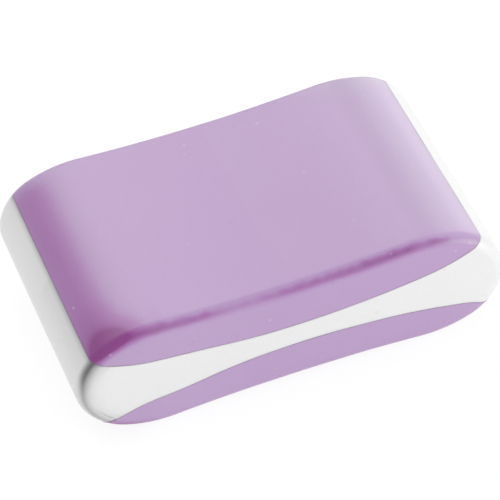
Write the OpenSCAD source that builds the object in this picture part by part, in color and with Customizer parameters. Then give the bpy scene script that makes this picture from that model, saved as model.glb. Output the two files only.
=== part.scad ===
// Rubber eraser moulded in three bonded layers: a white core between two coloured layers.
// The origin is the middle of the underside, +X runs along the length and +Z is up.

/* [Body] */
// Length over the two rolled ends
body_l = 60; // [50:1:80]
// Width over the two flat long sides
body_w = 40; // [20:1:50]
// Height over the crests of the upper and lower faces
body_h = 16.4; // [13:0.1:19]
// Depth of the shallow hollow at mid-length of the upper and lower faces
hollow_d = 0.6; // [0.2:0.1:1.2]
// Radius of the rolled edge all round the outline of each long side
edge_r = 1.8; // [0.5:0.1:2.5]

/* [Rolled ends] */
// Radius of the broad shoulder on which each face falls away to the end
shoulder_r = 18; // [12:0.1:22]
// Angle of the surface normal above level where the brow runs into the shoulder
shoulder_turn = 70; // [64:1:76]
// Radius of the nose, the foremost part of each end
nose_r = 6.3; // [4:0.1:8]
// Angle of the surface normal above level where the nose runs into the brow above it
nose_turn = 25; // [18:1:35]

/* [Layers] */
// Thickness of the core at mid-length
core_t = 2.9; // [1.6:0.1:5]
// Radius of the seams along the middle of the length
seam_r = 136; // [90:1:300]
// Distance from mid-length at which each seam starts to turn away faster
seam_turn_x = 19; // [12:0.1:22]
// Radius of the seams towards the ends
seam_end_r = 26; // [22:0.1:60]

/* [Hidden] */
$fn = 200;

half_l = body_l / 2;
half_w = body_w / 2;
half_h = body_h / 2;

// A size taken to a given step, as a drawing would give it
function to_step(value, step) = round(value / step) * step;

// Direction in the side profile, as [x, z], at an angle above level
function toward(angle) = [cos(angle), sin(angle)];

// The side profile is a chain of arcs, each running into the next without a corner:
// hollow, shoulder, brow and nose. Its points are [x, z] from the middle of the body.
// An arc climbs by its radius times the change in the sine of its normal's angle, and the
// brow takes the radius that makes up the climb left between the nose and the shoulder.
nose_climb = nose_r * sin(nose_turn);
shoulder_climb = shoulder_r * (1 - sin(shoulder_turn));
brow_climb = half_h - nose_climb - shoulder_climb;
brow_r = to_step(brow_climb / (sin(shoulder_turn) - sin(nose_turn)), 0.001);
nose_c = [half_l - nose_r, 0];
brow_c = nose_c + (nose_r - brow_r) * toward(nose_turn);
shoulder_c = brow_c - (shoulder_r - brow_r) * toward(shoulder_turn);
crest = shoulder_c + [0, shoulder_r];

// The hollow is centred over mid-length and meets the shoulder a little inside the crest.
hollow_slope = to_step(2 * atan(hollow_d / crest[0]), 0.01);
hollow_r = crest[0] / sin(hollow_slope) - shoulder_r;
hollow_c = shoulder_c + (shoulder_r + hollow_r) * toward(90 + hollow_slope);
// Depth of the hollow's section, which passes the middle plane all along
hollow_reach = ceil(half_h) + 1;

// Each seam is a flat arc that runs into a tighter one towards either end.
seam_slope = to_step(asin(seam_turn_x / seam_r), 0.01);
seam_c = [0, core_t / 2 + seam_r];
seam_end_c = seam_c + (seam_r - seam_end_r) * toward(seam_slope - 90);

// Moves a shape by a rounded step and then by the small remainder, so touching arcs meet true
module placed(v) {
    step = [for (value = v) to_step(value, 0.01)];
    translate(step)
        translate(v - step)
            children();
}

// Turns a section about an axis along Y through the profile point c, between two angles
module turned(c, from, to) {
    placed([c[0], 0, c[1]])
        rotate([90, 0, 0])
            rotate_extrude(angle = to - from, start = from)
                children();
}

// Section across the body, from an arc's centre out to its surface, with rolled outer corners
module section(reach) {
    translate([0, -half_w])
        square([reach - edge_r, body_w]);
    translate([0, edge_r - half_w])
        square([reach, body_w - 2 * edge_r]);
    for (side = [-1, 1])
        translate([reach - edge_r, side * (half_w - edge_r)])
            circle(edge_r);
}

// Hollow of a face, turned about a centre above it, so its rolled corners face that centre
module hollow() {
    turned(hollow_c, 270 - hollow_slope, 270 + hollow_slope)
        placed([hollow_r + hollow_reach, 0])
            mirror([1, 0])
                section(hollow_reach);
}

// Rolled end above the middle plane: shoulder, brow and nose
module rolled_end() {
    turned(shoulder_c, shoulder_turn, 90 + hollow_slope)
        section(shoulder_r);
    turned(brow_c, nose_turn, shoulder_turn)
        section(brow_r);
    turned(nose_c, 0, nose_turn)
        section(nose_r);
}

// Upper half of the body, from the middle plane to the crests
module half_body() {
    intersection() {
        union() {
            hollow();
            for (end = [0, 1])
                mirror([end, 0, 0])
                    rolled_end();
            translate([-nose_c[0], -half_w, 0])
                cube([2 * nose_c[0], body_w, nose_r / 2]);
        }
        translate([-body_l, -body_w, 0])
            cube([2 * body_l, 2 * body_w, body_h]);
    }
}

// Everything over the upper seam, out past the body on all sides
module over_seam() {
    turned(seam_c, 270 - seam_slope, 270 + seam_slope)
        translate([0, -body_w])
            square([seam_r, 2 * body_w]);
    for (end = [0, 1])
        mirror([end, 0, 0])
            turned(seam_end_c, 270 + seam_slope, 360)
                translate([0, -body_w])
                    square([seam_end_r, 2 * body_w]);
}

// Coloured layer in the upper place: thick at mid-length and thin towards its ends
module outer_layer() {
    intersection() {
        half_body();
        over_seam();
    }
}

module upper_layer() {
    color("#c4acd3")
        translate([0, 0, half_h])
            outer_layer();
}

// White core: thin along the middle of the sides and almost the whole height of the noses
module core_layer() {
    color("#efefef")
        translate([0, 0, half_h])
            for (face = [0, 1])
                mirror([0, 0, face])
                    difference() {
                        half_body();
                        over_seam();
                    }
}

module lower_layer() {
    color("#bca3cd")
        translate([0, 0, half_h])
            mirror([0, 0, 1])
                outer_layer();
}

upper_layer();
core_layer();
lower_layer();
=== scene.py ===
"""Dresses the rubber eraser: three bonded rubber layers, a plain floor, soft lights and a camera."""

import math

import bmesh
import bpy
import numpy as np
from mathutils import Matrix, Vector, noise


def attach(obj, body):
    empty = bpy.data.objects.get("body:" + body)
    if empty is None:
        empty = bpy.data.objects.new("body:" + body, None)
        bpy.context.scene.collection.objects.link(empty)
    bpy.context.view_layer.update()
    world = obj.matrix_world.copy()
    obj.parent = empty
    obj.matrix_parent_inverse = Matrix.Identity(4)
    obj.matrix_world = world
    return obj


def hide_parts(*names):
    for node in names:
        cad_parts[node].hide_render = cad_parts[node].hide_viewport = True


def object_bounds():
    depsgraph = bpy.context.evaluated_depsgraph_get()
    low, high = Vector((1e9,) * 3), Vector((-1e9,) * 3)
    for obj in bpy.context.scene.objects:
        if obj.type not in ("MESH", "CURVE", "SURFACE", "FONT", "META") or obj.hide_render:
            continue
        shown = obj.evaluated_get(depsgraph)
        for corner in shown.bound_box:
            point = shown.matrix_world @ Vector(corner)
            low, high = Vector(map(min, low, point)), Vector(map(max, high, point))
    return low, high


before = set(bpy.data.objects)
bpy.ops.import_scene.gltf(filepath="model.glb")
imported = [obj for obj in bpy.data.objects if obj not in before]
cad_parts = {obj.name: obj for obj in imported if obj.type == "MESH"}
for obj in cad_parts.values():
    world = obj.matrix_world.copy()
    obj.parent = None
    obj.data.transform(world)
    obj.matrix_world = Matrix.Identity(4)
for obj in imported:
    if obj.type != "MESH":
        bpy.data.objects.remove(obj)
cad_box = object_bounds()

# A millimetre, in metres
MM = 0.001

# Half the body's length, width and height, in mm, from the box round the solids
HALF_L, HALF_W, HALF_H = (round((high - low) / MM, 1) / 2 for low, high in zip(*cad_box))

# Its other sizes, in mm, as the solids have them
HOLLOW_D = 0.6
EDGE_R = 1.8
SHOULDER_R = 18.0
SHOULDER_TURN = math.radians(70)
NOSE_R = 6.3
NOSE_TURN = math.radians(25)
CORE_T = 2.9
SEAM_R = 136.0
SEAM_TURN_X = 19.0
SEAM_END_R = 26.0

# Fineness of the meshes
FACE_COLUMNS = 110
NOSE_COLUMNS = 28
ROLL_ROWS = 20
WIDTH_ROWS = 64
SIDE_ROWS = 20
# How closely columns, and the rows of the flat sides, crowd towards their ends, from 0 to 1
CROWDING = 0.86
# Decimals of a millimetre to which points that meet are taken as one
WELD_DIGITS = 5
# How often a stretch is halved to find where the profile meets a seam in it
HALVINGS = 50
# Distance along the profile by which neighbouring arcs may overlap, in mm
ARC_SLACK = 1e-9
# Angle between faces, in degrees, over which an edge is drawn sharp
SHARP_ANGLE = 35

# Small departures of moulded rubber from its drawing, in mm, and the seed of its waves
SKIN_INSET = 0.05
SEAM_GROOVE = 0.008
SEAM_GROOVE_W = 0.12
WAVE_DEPTH = 0.035
WAVE_LENGTH = 7.0
WAVE_SEED = 3.0
# How far each step of a seed shifts the noise along x, y and z, in waves
SEED_SHIFT = (1, 2.3, 5.1)

# How much further out than drawn the seams of this moulding lie, in mm. Each swell is its height,
# its place along x and its width to either side, and the lower seam also lies out evenly.
UPPER_SWELLS = ((0.27, -13, 6.5),)
LOWER_SWELLS = ((0.55, -16, 7.5), (0.12, 20, 4))
LOWER_EVEN = 0.2
# Places along x between which that goes from nothing to its full amount, at the left and right
LEFT_FADE = (-27.5, -24)
RIGHT_FADE = (25.5, 21)


# Smooth changes along a value


def bump_at(value, centre, width):
    """A smooth bump of height 1 at the centre, that many units wide to either side."""
    return np.exp(-(((value - centre) / width) ** 2))


def step_at(value, centre, width):
    """A smooth step from 0 to 1 as the value passes the centre."""
    return 1 / (1 + np.exp((centre - value) / width))


def eased(value, zero_at, full_at):
    """A smooth rise from 0 to 1 as the value goes from one place to the other."""
    part = np.clip((value - zero_at) / (full_at - zero_at), 0, 1)
    return part**2 * (3 - 2 * part)


# The side profile and the seams


def toward(angle):
    """Direction in the side profile, as [x, z], at an angle above level."""
    return np.stack([np.cos(angle), np.sin(angle)], axis=-1)


def profile_arcs():
    """Arcs of a quarter of the side profile, from the nose to mid-length of the upper face.

    Each is (centre, radius, first normal angle, last normal angle, +1 bulging or -1 hollow).
    """
    nose_climb = NOSE_R * math.sin(NOSE_TURN)
    shoulder_climb = SHOULDER_R * (1 - math.sin(SHOULDER_TURN))
    brow_climb = HALF_H - nose_climb - shoulder_climb
    brow_r = brow_climb / (math.sin(SHOULDER_TURN) - math.sin(NOSE_TURN))
    nose_c = np.array([HALF_L - NOSE_R, 0.0])
    brow_c = nose_c + (NOSE_R - brow_r) * toward(NOSE_TURN)
    shoulder_c = brow_c - (SHOULDER_R - brow_r) * toward(SHOULDER_TURN)
    slope = 2 * math.atan(HOLLOW_D / shoulder_c[0])
    hollow_r = shoulder_c[0] / math.sin(slope) - SHOULDER_R
    top = math.pi / 2
    hollow_c = shoulder_c + (SHOULDER_R + hollow_r) * toward(top + slope)
    return [
        (nose_c, NOSE_R, 0.0, NOSE_TURN, 1),
        (brow_c, brow_r, NOSE_TURN, SHOULDER_TURN, 1),
        (shoulder_c, SHOULDER_R, SHOULDER_TURN, top + slope, 1),
        (hollow_c, hollow_r, top + slope, top, -1),
    ]


ARCS = profile_arcs()
ARC_LENGTHS = [radius * abs(last - first) for _, radius, first, last, _ in ARCS]
QUARTER = sum(ARC_LENGTHS)


def profile(s):
    """Points and outward normals of the quarter profile at distances s along it from the nose."""
    s = np.asarray(s, float)
    points = np.zeros(s.shape + (2,))
    normals = np.zeros(s.shape + (2,))
    start = 0.0
    for (centre, radius, first, last, bulge), length in zip(ARCS, ARC_LENGTHS):
        part = (s >= start - ARC_SLACK) & (s <= start + length + ARC_SLACK)
        angle = first + (last - first) * (s[part] - start) / length
        normals[part] = toward(angle)
        points[part] = centre + bulge * radius * normals[part]
        start += length
    return points, normals


def seam_height(x):
    """Height of the upper seam over the middle plane."""
    x = np.abs(np.asarray(x, float))
    slope = math.asin(SEAM_TURN_X / SEAM_R)
    middle_z = CORE_T / 2 + SEAM_R
    end_x, end_z = np.array([0.0, middle_z]) + (SEAM_R - SEAM_END_R) * toward(slope - math.pi / 2)
    flat = middle_z - np.sqrt(SEAM_R**2 - np.minimum(x, SEAM_TURN_X) ** 2)
    tight = end_z - np.sqrt(SEAM_END_R**2 - (np.maximum(x, SEAM_TURN_X) - end_x) ** 2)
    return np.where(x <= SEAM_TURN_X, flat, tight)


def seam_offset(x, side):
    """How much further out than drawn the upper (+1) or lower (-1) seam of this moulding lies.

    It is most left of the middle, and nothing at both ends, where the seams keep their place.
    """
    upper = sum(height * bump_at(x, place, width) for height, place, width in UPPER_SWELLS)
    lower = sum(height * bump_at(x, place, width) for height, place, width in LOWER_SWELLS)
    fade = eased(x, *LEFT_FADE) * eased(x, *RIGHT_FADE)
    return np.where(side > 0, upper, LOWER_EVEN + lower) * fade


def seam_crossing(inset):
    """Distance along the quarter profile at which it meets the seam, when drawn in by inset."""
    low, high = 0.0, QUARTER / 2
    for _ in range(HALVINGS):
        middle = (low + high) / 2
        point, normal = profile(middle)
        x, z = point - inset * normal
        if z < seam_height(x):
            low = middle
        else:
            high = middle
    return (low + high) / 2


def crowded(count):
    """Numbers from 0 to 1 that lie closer together towards both ends."""
    u = np.linspace(0, 1, count + 1)
    return u - CROWDING * np.sin(2 * math.pi * u) / (2 * math.pi)


# Rows and grids of the meshes


def across():
    """Rows across the width: the place y, the inset of the rolled edge and its turn."""
    turn = np.linspace(math.pi / 2, 0, ROLL_ROWS + 1)
    flat = np.linspace(-1, 1, WIDTH_ROWS + 1)[1:-1]
    turns = np.concatenate([-turn, np.zeros(len(flat)), turn[::-1]])
    reach = HALF_W - EDGE_R
    middle = np.concatenate([-np.ones(len(turn)), flat, np.ones(len(turn))]) * reach
    return middle + EDGE_R * np.sin(turns), EDGE_R * (1 - np.cos(turns)), turns


ROWS_Y, ROWS_INSET, ROWS_TURN = across()
CROSSINGS = {float(inset): seam_crossing(inset) for inset in np.unique(ROWS_INSET)}


def raised(xz, normal, row, signs):
    """Points and normals of one row in the body, mirrored by signs in x and z."""
    turn = ROWS_TURN[row]
    place = xz * signs
    lean = normal * signs * math.cos(turn)
    points = np.stack([place[:, 0], np.full(len(xz), ROWS_Y[row]), place[:, 1]], -1)
    normals = np.stack([lean[:, 0], np.full(len(xz), math.sin(turn)), lean[:, 1]], -1)
    return points, normals


def drawn_in(s, row):
    """A row's profile points at distances s, drawn in by its inset, with their normals."""
    points, normals = profile(s)
    return points - ROWS_INSET[row] * normals, normals


def face_row(row, side):
    """One row over the upper (+1) or lower (-1) face, from the right seam to the left."""
    start = CROSSINGS[float(ROWS_INSET[row])]
    s = start + (QUARTER - start) * crowded(FACE_COLUMNS * 2)[: FACE_COLUMNS + 1] * 2
    xz, normal = drawn_in(np.minimum(s, QUARTER), row)
    right = raised(xz, normal, row, (1, side))
    left = raised(xz[-2::-1], normal[-2::-1], row, (-1, side))
    return [np.concatenate(pair) for pair in zip(right, left)]


def seam_row(row, side):
    """One row along the upper (+1) or lower (-1) seam, from the right to the left."""
    point, normal = drawn_in(CROSSINGS[float(ROWS_INSET[row])], row)
    u = crowded(FACE_COLUMNS * 2)
    x = point[0] * (1 - 2 * u)
    z = seam_height(x) + seam_offset(x, side)
    z[0] = z[-1] = point[1]
    points = np.stack([x, np.full(len(x), ROWS_Y[row]), z * side], -1)
    return points, np.zeros_like(points)


def nose_row(row, end):
    """One row round the right (+1) or left (-1) nose, from the lower seam to the upper."""
    limit = CROSSINGS[float(ROWS_INSET[row])]
    s = limit * (2 * crowded(NOSE_COLUMNS * 2)[NOSE_COLUMNS:] - 1)
    xz, normal = drawn_in(s, row)
    upper = raised(xz, normal, row, (end, 1))
    lower = raised(xz[:0:-1], normal[:0:-1], row, (end, -1))
    return [np.concatenate(pair) for pair in zip(lower, upper)]


def stacked(make_row, side):
    """A grid of rows over the whole width."""
    rows = [make_row(row, side) for row in range(len(ROWS_Y))]
    return np.array([row[0] for row in rows]), np.array([row[1] for row in rows])


def filled(bottom, top, first, last, outward):
    """A flat patch between four border lines, with its normal along y."""
    u = np.linspace(0, 1, len(bottom))[None, :, None]
    v = crowded(len(first) - 1)[:, None, None]
    ends = (1 - u) * first[:, None] + u * last[:, None]
    between = (1 - v) * bottom[None] + v * top[None]
    under = (1 - u) * bottom[0] + u * bottom[-1]
    over = (1 - u) * top[0] + u * top[-1]
    corners = (1 - v) * under + v * over
    points = ends + between - corners
    normals = np.zeros_like(points)
    normals[..., 1] = outward
    return points, normals


def welded(grids):
    """One mesh from grids that share their borders: vertices, normals and faces."""
    points = np.concatenate([p.reshape(-1, 3) for p, _ in grids])
    normals = np.concatenate([n.reshape(-1, 3) for _, n in grids])
    places = np.round(points, WELD_DIGITS)
    _, first, index = np.unique(places, axis=0, return_index=True, return_inverse=True)
    index = index.reshape(-1)
    faces = []
    offset = 0
    for p, _ in grids:
        rows, columns = p.shape[:2]
        ids = index[offset : offset + rows * columns].reshape(rows, columns)
        offset += rows * columns
        quads = np.stack([ids[:-1, :-1], ids[1:, :-1], ids[1:, 1:], ids[:-1, 1:]], -1).reshape(-1, 4)
        for quad in quads.tolist():
            corners = [v for k, v in enumerate(quad) if v != quad[k - 1]]
            if len(set(corners)) >= 3:
                faces.append(corners)
    return points[first], normals[first], faces


def smooth_noise(points, length, seed):
    """Gentle noise from -1 to 1 at each point, with waves of about the given length in mm."""
    shift = Vector([seed * step for step in SEED_SHIFT])
    return np.array([noise.noise(Vector(p) / length + shift) for p in points.tolist()])


def moulded(points, normals):
    """Draws the skin in, with its slight waves and the fine groove over each seam."""
    x, _, z = points.T
    to_seam = np.abs(np.abs(z) - seam_height(x) - seam_offset(x, z))
    groove = SEAM_GROOVE * bump_at(to_seam, 0, SEAM_GROOVE_W)
    wave = WAVE_DEPTH * smooth_noise(points, WAVE_LENGTH, WAVE_SEED)
    depth = SKIN_INSET + groove + wave
    return points - normals * depth[:, None], to_seam


# Painted shade and sheen, dirt and dust

# Painted shade along the front edge of the upper face, as film taken off, by place x
EDGE_SHADE_AT = (-22, -20, -18, -14, -7, -3, 2, 10, 15, 19, 20.4, 21.7, 23.2, 28)
EDGE_SHADE_BY = (0.12, 0.27, 0.38, 0.27, 0.11, 0.12, 0.22, 0.31, 0.33, 0.4, 0.36, 0.22, 0.03, 0.0)
# Turn of the rolled edge, in degrees from the face, at which that painted shade is deepest
EDGE_TURN = 47
# How far that painted shade spreads towards the face and towards the side, and how far the fine
# unevenness shifts it, in degrees
EDGE_TO_FACE = 21
EDGE_TO_SIDE = 16
EDGE_SHIFT = 5
# How much the coarse and the fine unevenness add to it
COARSE_PART = 0.3
FINE_PART = 0.45
# Share of that painted shade on the back edge, and on the lower face
BACK_SHARE = 0.35
LOWER_SHARE = 0.25
# Film on a plain face
PLAIN = 0.565
# Painted shade over the brow of the left end, as film taken off, and what is added towards its front
BROW_SHADE = 0.195
BROW_SHADE_FRONT = 0.085
# Angle above level at which that shade is deepest, and how far it spreads up and down, in degrees
BROW_TILT = 70
BROW_UP = 9
BROW_DOWN = 40
# How far the coarse unevenness shifts where it ends towards the back, in mm
BROW_SHIFT = 0.4
# Painted shade at that end's front corner: more film taken off than there is, so that it lies bare
CORNER_SHADE = 1.08
# Film more left of the middle, and painted sheen near the right end
LEFT_RISE = 0.03
RIGHT_SHEEN = 0.06
# Painted shade where the front roll nears the flat side, and on the right nose of the core
LOWER_ROLL_SHADE = 0.03
NOSE_SHADE = 0.034
# Wave lengths, in mm, and seeds of the coarse and the fine unevenness of the film
COARSE_LUMPS = (4.2, 8.0)
FINE_LUMPS = (1.3, 2.0)

# Painted shade round the rim of the core's left nose: the distance over the rolled edge at which
# it is deepest, and how it rises before and falls after that, in mm
RIM_AT = 1.85
RIM_RISE = 0.55
RIM_FALL = 0.95
# High on the nose it is deepest this much earlier, and rises this much more slowly, in mm
RIM_HIGH_EARLIER = 0.55
RIM_HIGH_SLOWER = 0.3
# Strength of that painted shade low on the front rim, what is added over the middle and high up,
# and its strength on the back rim
RIM_LOW_SHADE = 0.42
RIM_MIDDLE_SHADE = 0.16
RIM_HIGH_SHADE = 0.3
RIM_BACK_SHADE = 0.15

# Share of dirt in a seam, the painted shade added on the left nose, and the width of its line, in mm
SEAM_DIRT = 0.1
SEAM_SHADE_LEFT = 0.38
SEAM_DIRT_W = 0.15
# How much wider that painted shade spreads on the left nose, over a coloured layer and over the core
COLOURED_SPREAD = 0.1
CORE_SPREAD = 0.52
# Share of grey painted shade along the front edge of the upper face, for each part of film taken
# off there, and its width in degrees
EDGE_SHADE_GREY = 0.5
EDGE_SHADE_GREY_W = 11
# Share of dirt on the sides, and of painted shade on the roll of the right front corner
SIDE_DIRT = 0.045
CORNER_SHADE_GREY = 0.2

# Share of painted sheen, in the pale tint, on the shoulder of the right end, what is added on its
# brow and its back corner, the most that they come to, and the share of dust on the sides
SHOULDER_SHEEN = 0.42
BROW_SHEEN = 0.22
BACK_CORNER_SHEEN = 0.3
MOST_SHEEN = 0.8
SIDE_DUST = 0.1
# Place along y at which the painted sheen ends towards the front, and how much further it reaches
# on the foremost part of the end
SHEEN_FRONT = -17.4
SHEEN_REACH = 1.0


def turn_and_tilt(normals):
    """Each normal's turn out towards a side, and its tilt above level in the side view, in degrees."""
    turn = np.degrees(np.arcsin(np.clip(np.abs(normals[:, 1]), 0, 1)))
    tilt = np.degrees(np.arctan2(np.abs(normals[:, 2]), np.abs(normals[:, 0])))
    return turn, tilt


def rim_shade(points, turn):
    """How much painted shade greys the white core round the rim of its left nose, most at the front.

    The painted shade is deepest where the rolled edge nears the flat side, and dies away over it.
    """
    x, y, z = points.T
    flat_from = NOSE_R - HALF_L - np.sqrt(np.clip((NOSE_R - EDGE_R) ** 2 - z**2, 0, None))
    along = EDGE_R * np.radians(turn) + np.clip(x - flat_from, 0, None)
    high = step_at(z, centre=2.4, width=0.7)
    past = along - RIM_AT + RIM_HIGH_EARLIER * high
    rising = bump_at(past, centre=0, width=RIM_RISE + RIM_HIGH_SLOWER * high)
    shading = np.where(past < 0, rising, np.exp(-past / RIM_FALL)) * (x < 0)
    over_middle = step_at(z, centre=1.5, width=1.2)
    front_shade = RIM_LOW_SHADE + RIM_MIDDLE_SHADE * over_middle + RIM_HIGH_SHADE * high
    return shading * np.where(y < 0, front_shade, RIM_BACK_SHADE)


def core_film_and_shade(points, normals):
    """How pale the white core is: painted shade dims it round its left nose's rim and on its right
    nose.
    """
    turn, _ = turn_and_tilt(normals)
    # Painted shade on the right nose of the core
    right_nose = step_at(normals[:, 0], centre=0.35, width=0.1)
    return PLAIN * (1 - rim_shade(points, turn)) - NOSE_SHADE * right_nose


def coloured_film_shade_and_sheen(points, normals):
    """How thick the pale film on a coloured layer lies, from 0 to 1, with painted shade and sheen.

    Painted shade thins it along the front edge of the upper face, over the brow of the left end
    and most of all at that end's front corner, and painted sheen thickens it near the right end.
    """
    x, y, z = points.T
    turn, tilt = turn_and_tilt(normals)
    coarse, fine = smooth_noise(points, *COARSE_LUMPS), smooth_noise(points, *FINE_LUMPS)
    left, front = step_at(-x, centre=18, width=1.0), step_at(-y, centre=0, width=1.0)
    on_face = step_at(-turn, centre=-50, width=9)

    depth = np.interp(x, EDGE_SHADE_AT, EDGE_SHADE_BY) * (BACK_SHARE + (1 - BACK_SHARE) * front)
    depth = depth * (LOWER_SHARE + (1 - LOWER_SHARE) * (z > 0))
    lumps = 1 + (COARSE_PART * coarse + FINE_PART * fine) * (1 - left)
    # Painted shade along the front edge of the upper face, as film taken off
    edge_width = np.where(turn > EDGE_TURN, EDGE_TO_SIDE, EDGE_TO_FACE)
    edge = depth * lumps * bump_at(turn + EDGE_SHIFT * fine, EDGE_TURN, edge_width)

    # Painted shade over the brow of the left end
    brow = BROW_SHADE + BROW_SHADE_FRONT * step_at(-y, centre=11, width=0.9)
    brow = brow * bump_at(tilt, BROW_TILT, np.where(tilt > BROW_TILT, BROW_UP, BROW_DOWN))
    brow = brow * left * on_face * step_at(-y - BROW_SHIFT * coarse, centre=-17.3, width=0.8)

    # Painted shade at the left end's front corner
    corner = CORNER_SHADE * step_at(-y, centre=16.9, width=1.1) * left * on_face
    corner = corner * step_at(-tilt, centre=-80.5, width=4.5) * step_at(tilt, centre=54, width=5)

    # Painted sheen near the right end
    right_sheen = RIGHT_SHEEN * bump_at(x, centre=20, width=6) * step_at(-turn, centre=-30, width=8)
    rise = LEFT_RISE * bump_at(x, centre=-15, width=8) + right_sheen
    # Painted shade where the front roll nears the flat side
    lower_roll = LOWER_ROLL_SHADE * bump_at(turn, centre=68, width=10) * front
    return np.clip(PLAIN + rise - edge - brow - corner - lower_roll, 0, 1)


def grime_and_shade(points, normals, to_seam, coloured):
    """Share of dark grey: fine dirt along each seam, with painted shade added there on the left nose.

    On a coloured layer it is also painted shade along the front edge of the upper face and at the
    right front corner, and dirt on the sides.
    """
    x, y, z = points.T
    turn, _ = turn_and_tilt(normals)
    left = np.clip(-normals[:, 0], 0, 1) * (x < 0)
    spread = COLOURED_SPREAD if coloured else CORE_SPREAD
    # Fine dirt in each seam, with painted shade added along it on the left nose
    along_seam = bump_at(to_seam, 0, SEAM_DIRT_W + spread * left)
    along_seam = along_seam * (SEAM_DIRT + SEAM_SHADE_LEFT * left)
    # Grey painted shade along that front edge
    edge_shade = np.interp(x, EDGE_SHADE_AT, EDGE_SHADE_BY) * (y < 0) * (z > 0) * (normals[:, 2] > 0)
    along_edge = EDGE_SHADE_GREY * edge_shade * bump_at(turn, EDGE_TURN, EDGE_SHADE_GREY_W)
    on_side = SIDE_DIRT * step_at(turn, centre=62, width=6)
    # Painted shade on the roll of the right front corner
    corner = CORNER_SHADE_GREY * bump_at(turn, centre=54, width=13) * (y < 0)
    corner = corner * step_at(x, centre=21, width=0.8)
    return along_seam + (along_edge + on_side + corner) * coloured


def dusting_and_sheen(points, normals):
    """Share of the pale tint: painted sheen, most over the shoulder and the brow of the right end."""
    x, y, _ = points.T
    lean = normals[:, 0]
    # Painted sheen over the right end
    shoulder = SHOULDER_SHEEN * step_at(lean, centre=0.12, width=0.07)
    brow = BROW_SHEEN * step_at(lean, centre=0.57, width=0.04)
    front_limit = SHEEN_FRONT - SHEEN_REACH * step_at(x, centre=23, width=1)
    on_end = (shoulder + brow) * step_at(y, front_limit, width=0.7)
    # Painted sheen at the back corner of the right end
    back_corner = step_at(y, centre=16.5, width=0.8) * step_at(x, centre=15, width=1.5)
    back_corner = BACK_CORNER_SHEEN * back_corner * np.abs(normals[:, 2])
    on_side = SIDE_DUST * step_at(np.abs(normals[:, 1]), centre=0.9, width=0.03)
    return np.clip(on_end + back_corner, 0, MOST_SHEEN) * (x > 0) + on_side


# The three layers


def layer(name, grids, coloured):
    """A closed object from grids, turned outward, with what its material reads stored on it."""
    points, normals, faces = welded(grids)
    placed, to_seam = moulded(points, normals)
    mesh = bpy.data.meshes.new(name)
    mesh.from_pydata(((placed + [0, 0, HALF_H]) * MM).tolist(), [], faces)
    # Film, dirt and dust as stored, each with painted shade or sheen in it
    stored = {
        "film_and_painted_light": coloured_film_shade_and_sheen(points, normals) if coloured else core_film_and_shade(points, normals),
        "grime_and_shade": grime_and_shade(points, normals, to_seam, coloured),
        "dust_and_sheen": dusting_and_sheen(points, normals),
    }
    for label, values in stored.items():
        attribute = mesh.attributes.new(label, "FLOAT", "POINT")
        attribute.data.foreach_set("value", values.astype(np.float32))
    work = bmesh.new()
    work.from_mesh(mesh)
    bmesh.ops.recalc_face_normals(work, faces=work.faces)
    if work.calc_volume(signed=True) < 0:
        bmesh.ops.reverse_faces(work, faces=work.faces)
    work.to_mesh(mesh)
    work.free()
    mesh.shade_smooth()
    mesh.set_sharp_from_angle(angle=math.radians(SHARP_ANGLE))
    piece = bpy.data.objects.new(name, mesh)
    bpy.context.scene.collection.objects.link(piece)
    return piece


def coloured_layer(name, side):
    """The upper (+1) or lower (-1) coloured layer."""
    face = stacked(face_row, side)
    seam = stacked(seam_row, side)
    grids = [face]
    for row, outward in ((0, -1), (-1, 1)):
        edge, base = face[0][row], seam[0][row]
        v = crowded(SIDE_ROWS)[:, None]
        first = np.repeat(edge[:1], len(v), axis=0)
        last = np.repeat(edge[-1:], len(v), axis=0)
        grids.append(filled(base, edge, first, last, outward))
    grids.append(seam)
    return layer(name, grids, True)


def core(name):
    """The white core, with its two noses."""
    right, left = stacked(nose_row, 1), stacked(nose_row, -1)
    over, under = stacked(seam_row, 1), stacked(seam_row, -1)
    grids = [right, left]
    for row, outward in ((0, -1), (-1, 1)):
        grids.append(filled(under[0][row], over[0][row], right[0][row], left[0][row], outward))
    grids += [over, under]
    return layer(name, grids, False)


# Materials

# Waves of each pattern in a metre: soft clouds, fine grain, pale specks and dark pits
CLOUDS = 140.0
GRAIN = 2400.0
SPECKS = 380.0
PITS = 310.0
# Values between which a cloudy pattern mostly lies
PATTERN_LOW = 0.3
PATTERN_HIGH = 0.7
# How much the clouds and the grain thicken or thin the film
CLOUD_FILM = 0.008
GRAIN_FILM = 0.01
# Each cell's chance is a number from 0 to 1. A speck or pit shows in cells over the first of
# these, and is full from the second.
SPECK_PICK = (0.35, 0.95)
PIT_PICK = (0.4, 0.95)
# Size of a speck and a pit, as shares of a cell: its core and its outer limit
SPECK_SIZE = (0.05, 0.11)
PIT_SIZE = (0.05, 0.13)
# Strength of a full speck and a full pit
SPECK_SHARE = 0.4
PIT_SHARE = 0.07
# Colour of dirt and of painted shade, and of the pits, as light reflected
DIRT_AND_SHADE = (0.12, 0.115, 0.12, 1)
# Roughness of moulded rubber, and how far the clouds smooth and roughen it
ROUGHNESS = 0.4
SMOOTHER = 0.03
ROUGHER = 0.04
# Height of the grain, in metres
GRAIN_HEIGHT = 0.00001


def node(tree, kind, inputs=None, **settings):
    """A shader node with its settings and inputs, each input a value or another node's output."""
    made = tree.nodes.new(kind)
    for key, value in settings.items():
        setattr(made, key, value)
    for key, value in (inputs or {}).items():
        if isinstance(value, bpy.types.NodeSocket):
            tree.links.new(value, made.inputs[key])
        else:
            made.inputs[key].default_value = value
    return made


def new_material(name):
    """A material with an empty node tree and its output node."""
    material = bpy.data.materials.new(name)
    material.use_nodes = True
    material.node_tree.nodes.clear()
    return material, node(material.node_tree, "ShaderNodeOutputMaterial")


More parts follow.
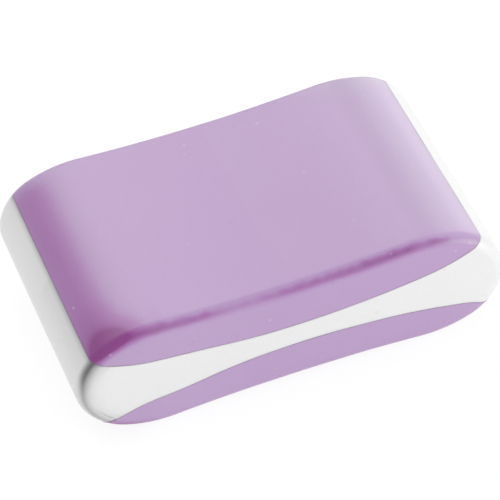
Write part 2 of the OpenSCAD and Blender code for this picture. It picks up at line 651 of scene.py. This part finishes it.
def mixed(tree, factor, first, second):
    """Colour that goes from first to second by factor."""
    # A Mix node numbers its factor 0 and its two colours 6 and 7, and gives the colour as 2
    inputs = {0: factor, 6: first, 7: second}
    return node(tree, "ShaderNodeMix", inputs, data_type="RGBA").outputs[2]


def mapped(tree, value, low, high, to_low, to_high, smooth=False):
    """A value carried from one range to another."""
    kind = "SMOOTHSTEP" if smooth else "LINEAR"
    inputs = {0: value, 1: low, 2: high, 3: to_low, 4: to_high}
    return node(tree, "ShaderNodeMapRange", inputs, interpolation_type=kind).outputs[0]


def ramp(tree, value, stops):
    """Colour read from a value by a list of (place, colour)."""
    made = node(tree, "ShaderNodeValToRGB", {"Fac": value})
    elements = made.color_ramp.elements
    while len(elements) < len(stops):
        elements.new(0.5)
    # The new stops get their places here
    for element, (place, colour) in zip(elements, stops):
        element.position = place
        element.color = (*colour, 1)
    return made.outputs["Color"]


def cloudy(tree, place, waves, detail):
    """A cloudy pattern."""
    inputs = {"Vector": place, "Scale": waves, "Detail": detail}
    return node(tree, "ShaderNodeTexNoise", inputs).outputs[0]


def combined(tree, first, second, operation):
    """One number from two."""
    return node(tree, "ShaderNodeMath", {0: first, 1: second}, operation=operation).outputs[0]


def attribute(tree, name):
    """A value that is stored on the mesh."""
    return node(tree, "ShaderNodeAttribute", attribute_name=name).outputs["Fac"]


def scattered(tree, place, cells, channel, pick, share, size):
    """Strength of small round dots that lie one to a cell, and show in some of the cells."""
    cell = node(tree, "ShaderNodeTexVoronoi", {"Vector": place, "Scale": cells})
    chance = node(tree, "ShaderNodeSeparateColor", {0: cell.outputs["Color"]}).outputs[channel]
    strength = mapped(tree, chance, *pick, 0.0, share)
    dot = mapped(tree, cell.outputs["Distance"], *size, 1.0, 0.0, smooth=True)
    return combined(tree, strength, dot, "MULTIPLY")


def rubber(name, stops, dust_and_sheen_tint, speck, sss_radius):
    """Smooth moulded rubber: its film's colour, faint mottling, fine grain, pale specks and pits."""
    material, output = new_material(name)
    tree = material.node_tree
    place = node(tree, "ShaderNodeTexCoord").outputs["Object"]
    clouds = cloudy(tree, place, CLOUDS, detail=4.0)
    grain = cloudy(tree, place, GRAIN, detail=2.0)

    patchy = mapped(tree, clouds, PATTERN_LOW, PATTERN_HIGH, -CLOUD_FILM, CLOUD_FILM)
    grainy = mapped(tree, grain, PATTERN_LOW, PATTERN_HIGH, -GRAIN_FILM, GRAIN_FILM)
    uneven = combined(tree, patchy, grainy, "ADD")
    # The film with its painted shade and sheen picks the colour; dust, sheen, dirt and shade tint it
    thickness = combined(tree, attribute(tree, "film_and_painted_light"), uneven, "ADD")
    colour = ramp(tree, thickness, stops)
    colour = mixed(tree, attribute(tree, "dust_and_sheen"), colour, dust_and_sheen_tint)
    colour = mixed(tree, attribute(tree, "grime_and_shade"), colour, DIRT_AND_SHADE)
    specks = scattered(tree, place, SPECKS, 0, SPECK_PICK, SPECK_SHARE, SPECK_SIZE)
    colour = mixed(tree, specks, colour, speck)
    pits = scattered(tree, place, PITS, 1, PIT_PICK, PIT_SHARE, PIT_SIZE)
    colour = mixed(tree, pits, colour, DIRT_AND_SHADE)

    smooth, rough = ROUGHNESS - SMOOTHER, ROUGHNESS + ROUGHER
    roughness = mapped(tree, clouds, PATTERN_LOW, PATTERN_HIGH, smooth, rough)
    bump = node(tree, "ShaderNodeBump", {"Height": grain, "Strength": 0.3, "Distance": GRAIN_HEIGHT})
    shader = node(
        tree,
        "ShaderNodeBsdfPrincipled",
        {
            "Base Color": colour,
            "Roughness": roughness,
            "Normal": bump.outputs[0],
            "IOR": 1.55,
            "Subsurface Weight": 0.15,
            "Subsurface Radius": sss_radius,
            "Subsurface Scale": 0.0006,
            "Coat Weight": 0.5,
            "Coat Roughness": 0.3,
        },
    )
    tree.links.new(shader.outputs[0], output.inputs[0])
    return material


# Part of the floor that glows white where the camera or a reflection sees it. The rest of it is
# matt and keeps the shadow.
FLOOR_GLOW_SHARE = 0.8
FLOOR_GLOW = 1.1
FLOOR_MATT = (0.9, 0.9, 0.9, 1)


def floor_material():
    """Plain white that keeps the shadow and shows white to the camera and in reflections."""
    material, output = new_material("floor_white")
    tree = material.node_tree
    path = node(tree, "ShaderNodeLightPath").outputs
    seen = combined(tree, path["Is Camera Ray"], path["Is Glossy Ray"], "MAXIMUM")
    share = combined(tree, seen, FLOOR_GLOW_SHARE, "MULTIPLY")
    matt = node(tree, "ShaderNodeBsdfDiffuse", {"Color": FLOOR_MATT}).outputs[0]
    glow_inputs = {"Color": (1, 1, 1, 1), "Strength": FLOOR_GLOW}
    glow = node(tree, "ShaderNodeEmission", glow_inputs).outputs[0]
    mix = node(tree, "ShaderNodeMixShader", {0: share, 1: matt, 2: glow})
    tree.links.new(mix.outputs[0], output.inputs[0])
    return material


# The colours of each rubber run from no film, its deepest painted shade, to where the film is thick
lilac = rubber(
    "coloured_rubber",
    stops=(
        (0.0, (0.29, 0.035, 0.275)),
        (0.1, (0.36, 0.085, 0.36)),
        (0.2, (0.395, 0.131, 0.42)),
        (0.38, (0.458, 0.19, 0.503)),
        (0.44, (0.48, 0.241, 0.545)),
        (0.5, (0.51, 0.304, 0.59)),
        (0.58, (0.554, 0.362, 0.644)),
        (0.66, (0.6, 0.42, 0.69)),
    ),
    dust_and_sheen_tint=(0.585, 0.525, 0.64, 1),
    speck=(0.78, 0.7, 0.84, 1),
    sss_radius=(1.0, 0.6, 1.0),
)
white = rubber(
    "white_rubber",
    stops=(
        (0.0, (0.02, 0.02, 0.022)),
        (0.3, (0.49, 0.487, 0.5)),
        (PLAIN, (0.93, 0.935, 0.93)),
    ),
    dust_and_sheen_tint=(0.88, 0.88, 0.88, 1),
    speck=(0.82, 0.82, 0.81, 1),
    sss_radius=(1.0, 0.95, 0.9),
)

# Pieces: each with the solid it stands for, its slot and its material
PIECES = (
    (coloured_layer("upper_rubber", 1), "upper_layer", "coloured_rubber", lilac),
    (core("core_rubber"), "core_layer", "white_rubber", white),
    (coloured_layer("lower_rubber", -1), "lower_layer", "coloured_rubber", lilac),
)
for piece, cad_node, slot, material in PIECES:
    piece.data.materials.append(material)
    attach(piece, "root")
    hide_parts(cad_node)

# Floor

# How far it reaches to each side, in metres
FLOOR_REACH = 3.0
floor_mesh = bpy.data.meshes.new("floor")
corners = [(-1, -1), (1, -1), (1, 1), (-1, 1)]
places = [(x * FLOOR_REACH, y * FLOOR_REACH, 0) for x, y in corners]
floor_mesh.from_pydata(places, [], [(0, 1, 2, 3)])
floor_mesh.materials.append(floor_material())
floor = bpy.data.objects.new("floor", floor_mesh)
bpy.context.scene.collection.objects.link(floor)

# Soft studio light

# Level of the white surroundings
WORLD_LEVEL = 0.64
# Distance and size of each softbox, in metres
SOFTBOX_DISTANCE = 1.0
SOFTBOX_SIZE = 0.55
# Each softbox's name, angle round from the front, angle above level and power in watts
SOFTBOXES = (
    ("back_softbox", 180, 38, 1.4),
    ("right_back_softbox", 135, 15, 1.31),
    ("right_front_softbox", 45, 15, 3.83),
)

world = bpy.data.worlds.new("studio")
world.use_nodes = True
world.node_tree.nodes["Background"].inputs["Color"].default_value = (1, 1, 1, 1)
world.node_tree.nodes["Background"].inputs["Strength"].default_value = WORLD_LEVEL
bpy.context.scene.world = world


def direction_to(azimuth, elevation):
    """Direction at an angle round from the front and an angle above level, in radians."""
    level = math.cos(elevation)
    return Vector((math.sin(azimuth) * level, -math.cos(azimuth) * level, math.sin(elevation)))


def softbox(name, azimuth, elevation, power):
    """A square area light that faces the object, with its angles in degrees."""
    direction = direction_to(math.radians(azimuth), math.radians(elevation))
    light = bpy.data.lights.new(name, "AREA")
    light.shape = "SQUARE"
    light.size = SOFTBOX_SIZE
    light.energy = power
    lamp = bpy.data.objects.new(name, light)
    lamp.location = direction * SOFTBOX_DISTANCE
    lamp.rotation_euler = direction.to_track_quat("Z", "Y").to_euler()
    bpy.context.scene.collection.objects.link(lamp)


for settings in SOFTBOXES:
    softbox(*settings)

# Camera

# Angle round from the front, angle above level and roll
CAMERA_AZIMUTH = math.radians(-12.256)
CAMERA_ELEVATION = math.radians(39.784)
CAMERA_ROLL = math.radians(-9.555)
# Distance from the middle of the body, and how far that lies right and up of the picture's middle,
# in metres
CAMERA_DISTANCE = 0.5305
CAMERA_OFFSET = (-0.00037, 0.00055)
# Focal length and width of the picture in pixels, width of the sensor in mm, and the nearest
# distance that is seen, in metres
FOCAL_PIXELS = 3920.738
IMAGE_PIXELS = 500
SENSOR_MM = 36.0
NEAR_LIMIT = 0.01

back = direction_to(CAMERA_AZIMUTH, CAMERA_ELEVATION)
level = Vector((math.cos(CAMERA_AZIMUTH), math.sin(CAMERA_AZIMUTH), 0))
upright = back.cross(level)
right = math.cos(CAMERA_ROLL) * level + math.sin(CAMERA_ROLL) * upright
up = math.cos(CAMERA_ROLL) * upright - math.sin(CAMERA_ROLL) * level
eye = back * CAMERA_DISTANCE - right * CAMERA_OFFSET[0] - up * CAMERA_OFFSET[1]
eye.z += HALF_H * MM
lens = bpy.data.cameras.new("camera")
lens.sensor_width = SENSOR_MM
lens.lens = FOCAL_PIXELS * SENSOR_MM / IMAGE_PIXELS
lens.clip_start = NEAR_LIMIT
camera = bpy.data.objects.new("camera", lens)
camera.matrix_world = Matrix.Translation(eye) @ Matrix((right, up, back)).transposed().to_4x4()
bpy.context.scene.collection.objects.link(camera)
bpy.context.scene.camera = camera
bpy.context.scene.view_settings.view_transform = "Standard"
